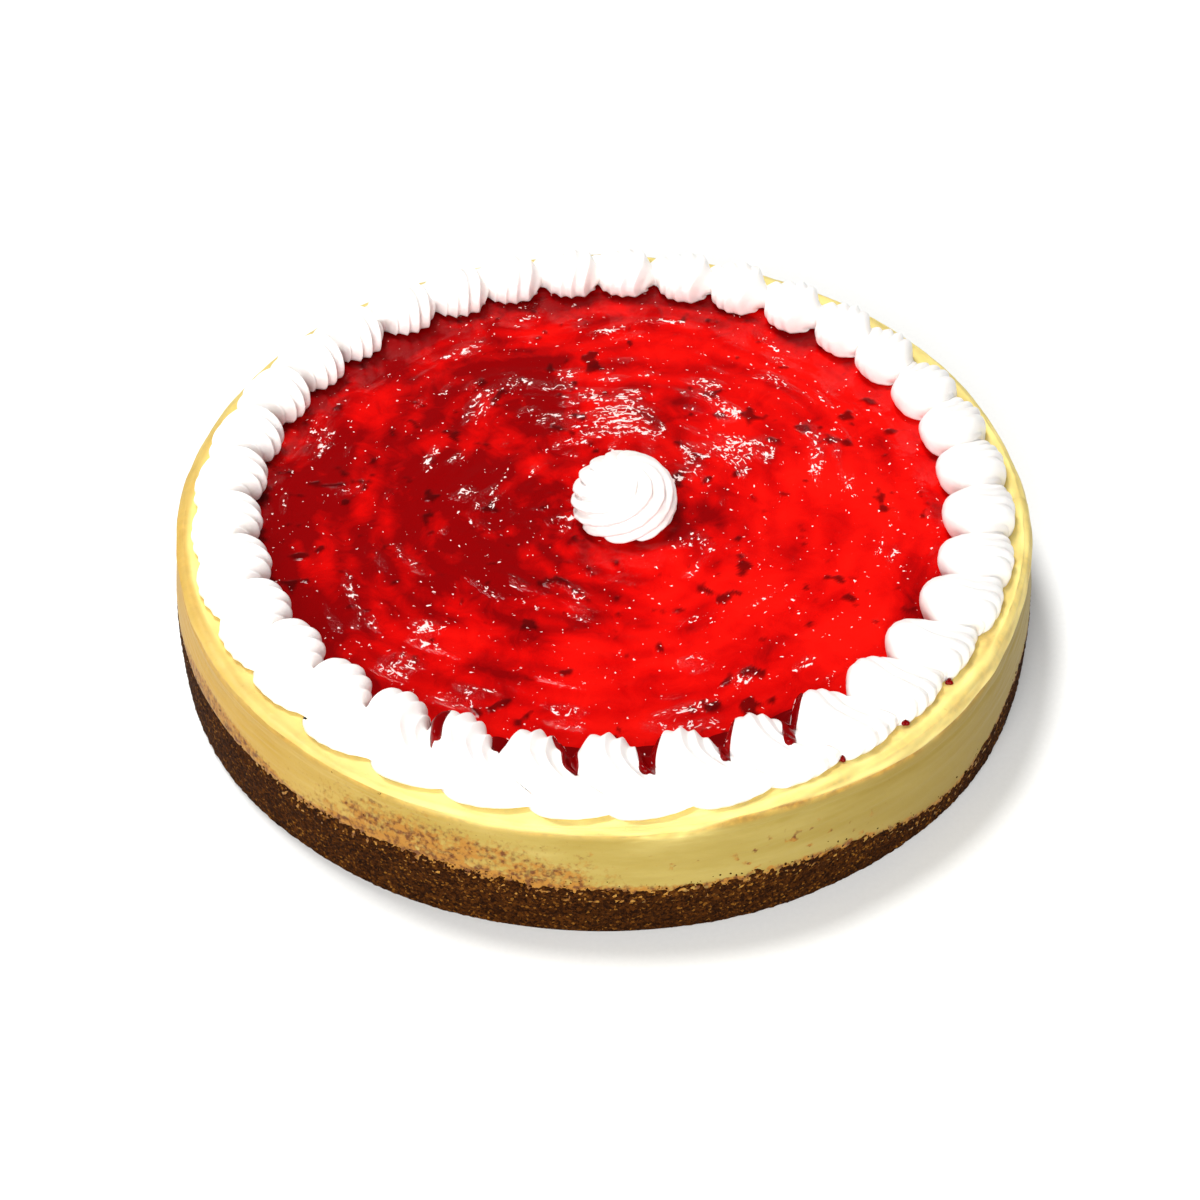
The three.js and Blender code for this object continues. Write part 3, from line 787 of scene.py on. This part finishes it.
def creamHeights(shells):
    # finds the height of the cream, or of the glaze beside it, under a place
    corners, sides = [], []
    for shell in shells:
        first = len(corners)
        corners += [vertex.co.copy() for vertex in shell.data.vertices]
        sides += [[first + i for i in side.vertices] for side in shell.data.polygons]
    skin = BVHTree.FromPolygons(corners, sides)

    def heightAt(x, y):
        hit = skin.ray_cast(Vector((x * mm, y * mm, 0.1)), Vector((0, 0, -1)))[0]
        return max(hit.z / mm if hit else 0, cake["shelfHeight"] - 0.6)

    return heightAt


def runPoints(run, settings, along, across, heightAt):
    root, tip, start, end, half = run
    turn = np.radians(blend(root, tip, smoothStep(along, 0, 1)))
    radius = blend(start, end, along)
    tipShare = half / (end - start)
    tipEnd = np.sqrt(np.clip(1 - (np.maximum(along - 1 + tipShare, 0) / tipShare) ** 2, 0, 1))
    halfWidth = half * tipEnd * (1 + 1.3 * smoothStep(along, 0.75, 0.1))
    turn = turn + halfWidth * across / radius
    x, y = radius * np.cos(turn), radius * np.sin(turn)
    bare = np.array([[heightAt(*place) for place in zip(*row)] for row in zip(x, y)])
    # the glaze fills the grooves of the cream and is domed, and its edge dips into the cream
    even = spread(spread(bare, np.max, 1), np.mean, 3)
    dome = settings["fill"] * (1 - across ** 2) * np.minimum(1, tipEnd * 1.3)
    thick = dome + 0.35 * smoothStep(along, 0.7, 0.92)
    highest = np.maximum(spread(bare, np.mean, 1) + settings["most"], bare + 0.15)
    edge = np.maximum(smoothStep(np.abs(across), 0.72, 1), smoothStep(tipEnd, 0.3, 0))
    z = blend(np.clip(even + thick, bare + 0.15, highest), bare - 0.5, edge)
    return np.stack([x, y, z], -1)


def dropPoints(drop, settings, along, across):
    x, y, z = drop
    around, up = np.pi * 2 * along, np.pi / 2 * across
    size = settings["dropSize"] * (1 + 0.15 * np.sin(3 * around + x))
    return np.stack([
        x + size * np.cos(up) * np.cos(around),
        y + size * np.cos(up) * np.sin(around),
        z + 0.7 * size * np.sin(up),
    ], -1)


def buildRuns(settings, material, shells):
    # glaze that has run out over the cream between the front shells, and a few drops at its outer foot
    heightAt = creamHeights(shells)
    along = np.linspace(0, 1, settings["steps"])[:, None]
    across = np.linspace(-1, 1, settings["across"])[None, :]
    sheets = [runPoints(run, settings, along, across, heightAt) for run in settings["runs"]]
    sheets += [dropPoints(drop, settings, along, across) for drop in settings["drops"]]
    onePiece = np.array(gridFaces(settings["steps"], settings["across"], False))
    count = settings["steps"] * settings["across"]
    faces = np.vstack([onePiece + i * count for i in range(len(sheets))]).tolist()
    piece = makePiece("glazeRuns", np.stack(sheets), faces, material)
    paint(piece, "fruit", np.full(count * len(sheets), settings["dark"]))
    print("runs of glaze built")


rosetteSettings = {
    "x": 6.0,
    "y": -4.2,
    "radius": 15.4,
    "height": 17.8,
    "ridges": 9,
    "grooveDepth": 2.3,
    "smoothRadius": 6,      # inside it the grooves run out
    "twist": 2.9,
    "tuck": 0.35,           # how far its side turns in at the foot
    "levels": 60,
    "steps": 216,
}


def buildRosette(settings, material):
    # one turn of the star tip: a round mound whose ridges wind round it as they rise
    angle = fullTurn(settings["steps"])
    tuck = settings["tuck"]
    turn = np.linspace(-tuck, math.pi / 2 - 0.02, settings["levels"])[:, None]
    rise = (np.sin(turn) + math.sin(tuck)) / (1 + math.sin(tuck))
    radius = settings["radius"] * np.cos(turn)
    wave = np.abs(np.sin(settings["ridges"] * (angle - settings["twist"] * rise) / 2)) ** 0.8
    radius = radius - settings["grooveDepth"] * (1 - wave) * np.minimum(1, radius / settings["smoothRadius"])
    x = settings["x"] + radius * np.cos(angle)
    y = settings["y"] + radius * np.sin(angle)
    z = cake["creamFloor"] + (settings["height"] - 0.35) * rise + 0 * angle
    x = x + 0.25 * noiseAt(x / 2.5, y / 2.5, z / 2.5, 91)
    y = y + 0.25 * noiseAt(x / 2.5, y / 2.5, z / 2.5, 92)
    faces = closedFaces(settings["levels"], settings["steps"])
    piece = makePiece("creamRosette", np.stack([x, y, z], -1), faces, material)
    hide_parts("cream_rosette")
    print("rosette built")


looseSettings = {
    "count": 1500,
    "smallest": 0.2,
    "largest": 0.6,
    "atSmear": 0.6,         # share of them rubbed on at the left front
    "smearMiddle": 247,     # its direction and half width in degrees, and its height
    "smearWidth": 9,
    "smearHeight": 16,
    "sunk": 0.3,
    "seed": 8,
}


def roundedLump():
    # the corners and sides of a solid with 20 equal faces
    golden = (1 + math.sqrt(5)) / 2
    corners = np.array([(-1, golden, 0), (1, golden, 0), (-1, -golden, 0), (1, -golden, 0),
                        (0, -1, golden), (0, 1, golden), (0, -1, -golden), (0, 1, -golden),
                        (golden, 0, -1), (golden, 0, 1), (-golden, 0, -1), (-golden, 0, 1)])
    sides = [(0, 11, 5), (0, 5, 1), (0, 1, 7), (0, 7, 10), (0, 10, 11),
             (1, 5, 9), (5, 11, 4), (11, 10, 2), (10, 7, 6), (7, 1, 8),
             (3, 9, 4), (3, 4, 2), (3, 2, 6), (3, 6, 8), (3, 8, 9),
             (4, 9, 5), (2, 4, 11), (6, 2, 10), (8, 6, 7), (9, 8, 1)]
    return corners / np.linalg.norm(corners[0]), sides


def buildLooseCrumbs(settings, material):
    # single grains rubbed up the wall at the left front, and a few all round the line
    random = np.random.default_rng(settings["seed"])
    corners, sides = roundedLump()
    count = settings["count"]
    atSmear = random.random(count) < settings["atSmear"]
    smearAngle = np.radians(random.normal(settings["smearMiddle"], settings["smearWidth"], count))
    angle = np.where(atSmear, smearAngle, random.random(count) * 2 * math.pi)
    smearAbove = random.random(count) ** 1.6 * settings["smearHeight"]
    z = crumbLine(angle) + np.where(atSmear, smearAbove, np.abs(random.normal(0, 1.5, count)))
    z = np.clip(z, 2, 36)
    size = blend(settings["smallest"], settings["largest"], random.random(count) ** 2)
    radius = wallRadius(z) + wallWave(angle) - settings["sunk"] - size * 0.6
    middle = ringPoints(radius, angle, z)
    shape = corners[None] * (0.7 + 0.5 * random.random((count, 12, 1))) * size[:, None, None]
    points = middle[:, None] + shape * (0.7 + 0.5 * random.random((count, 1, 3)))
    faces = [[12 * i + c for c in side] for i in range(count) for side in sides]
    piece = makePiece("looseCrumbs", points, faces, material)
    print("loose crumbs built")


crumb = crumbMaterial(crumbSettings)
custard = fillingMaterial(fillingSettings)
jelly = glazeMaterial(glazeSettings)
cream = creamMaterial(creamSettings)
print("materials made")

buildCrumbBase(crumbSettings, crumb)
buildFilling(fillingSettings, custard)
buildGlaze(glazeSettings, jelly)
shells = buildShells(creamSettings, cream)
buildRuns(runSettings, jelly, shells)
buildRosette(rosetteSettings, cream)
buildLooseCrumbs(looseSettings, crumb)


# The studio

studio = {
    "floor": "#f4f4f2",
    "floorShade": "#f1f1ef",
    "floorHalf": 6,         # metres
    "paper": 1.25,
    "ambient": 0.17,
    "target": (0, 0, 0.03),
    # soft round lights: place, size across and power
    "lights": {
        "key": ((-0.35, 0.4, 1.42), 0.42, 19),
        "front": ((-0.3, -1.3, 0.72), 1.2, 27),
        "left": ((-1.4, -0.3, 0.6), 1.0, 0.5),
        "right": ((1.4, -0.2, 0.6), 1.0, 3.2),
    },
}


def buildFloor(settings):
    # matt white paper
    material, tree, shader, place = startMaterial("studio floor")
    paper = addNode(tree, "ShaderNodeTexNoise",
                    {"Scale": perMetre(settings["paper"]), "Detail": 3, "Vector": place})
    colour = addNode(tree, "ShaderNodeValToRGB", {"Fac": paper.outputs["Fac"]},
                     [(0.3, settings["floorShade"]), (0.7, settings["floor"])])
    fillInputs(tree, shader, {"Base Color": colour.outputs["Color"], "Roughness": 0.8})
    mesh = bpy.data.meshes.new("floor")
    half = settings["floorHalf"]
    corners = [(-half, -half, 0), (half, -half, 0), (half, half, 0), (-half, half, 0)]
    mesh.from_pydata(corners, [], [(0, 1, 2, 3)])
    mesh.materials.append(material)
    floor = bpy.data.objects.new("floor", mesh)
    bpy.context.scene.collection.objects.link(floor)


def addLights(settings):
    for name, (place, size, power) in settings["lights"].items():
        light = bpy.data.lights.new(name, "AREA")
        light.shape = "DISK"
        light.size = size
        light.energy = power
        lamp = bpy.data.objects.new(name, light)
        lamp.location = place
        towards = Vector(settings["target"]) - Vector(place)
        lamp.rotation_euler = towards.to_track_quat("-Z", "Y").to_euler()
        bpy.context.scene.collection.objects.link(lamp)


def lightWorld(settings):
    world = bpy.data.worlds.new("studio")
    bpy.context.scene.world = world
    world.use_nodes = True
    background = world.node_tree.nodes["Background"]
    fillInputs(world.node_tree, background, {"Color": (1, 1, 1, 1), "Strength": settings["ambient"]})


# the viewpoint as worked out from the round rim and the round foot of the cake; its place is given in
# radii of the foot
cameraSettings = {
    "elevation": 44.3485,
    "roll": -0.2759,
    "distance": 5.0,
    "shiftRight": -0.008464,
    "shiftUp": -0.012244,
    "sensor": 36,
    "lens": 62.604,
}


def addCamera(settings):
    elevation, roll = math.radians(settings["elevation"]), math.radians(settings["roll"])
    forward = Vector((0, math.cos(elevation), -math.sin(elevation)))
    right = Vector((1, 0, 0))
    up = right.cross(forward)
    turnedRight = right * math.cos(roll) + up * math.sin(roll)
    turnedUp = up * math.cos(roll) - right * math.sin(roll)
    place = right * settings["shiftRight"] + up * settings["shiftUp"] - forward * settings["distance"]
    turn = Matrix((turnedRight, turnedUp, -forward)).transposed().to_4x4()
    camera = bpy.data.cameras.new("camera")
    camera.sensor_width = settings["sensor"]
    camera.lens = settings["lens"]
    eye = bpy.data.objects.new("camera", camera)
    eye.matrix_world = Matrix.Translation(place * (cake["footRadius"] * mm)) @ turn
    bpy.context.scene.collection.objects.link(eye)
    bpy.context.scene.camera = eye


buildFloor(studio)
addLights(studio)
lightWorld(studio)
addCamera(cameraSettings)
bpy.context.scene.view_settings.view_transform = "Standard"
print("studio built")
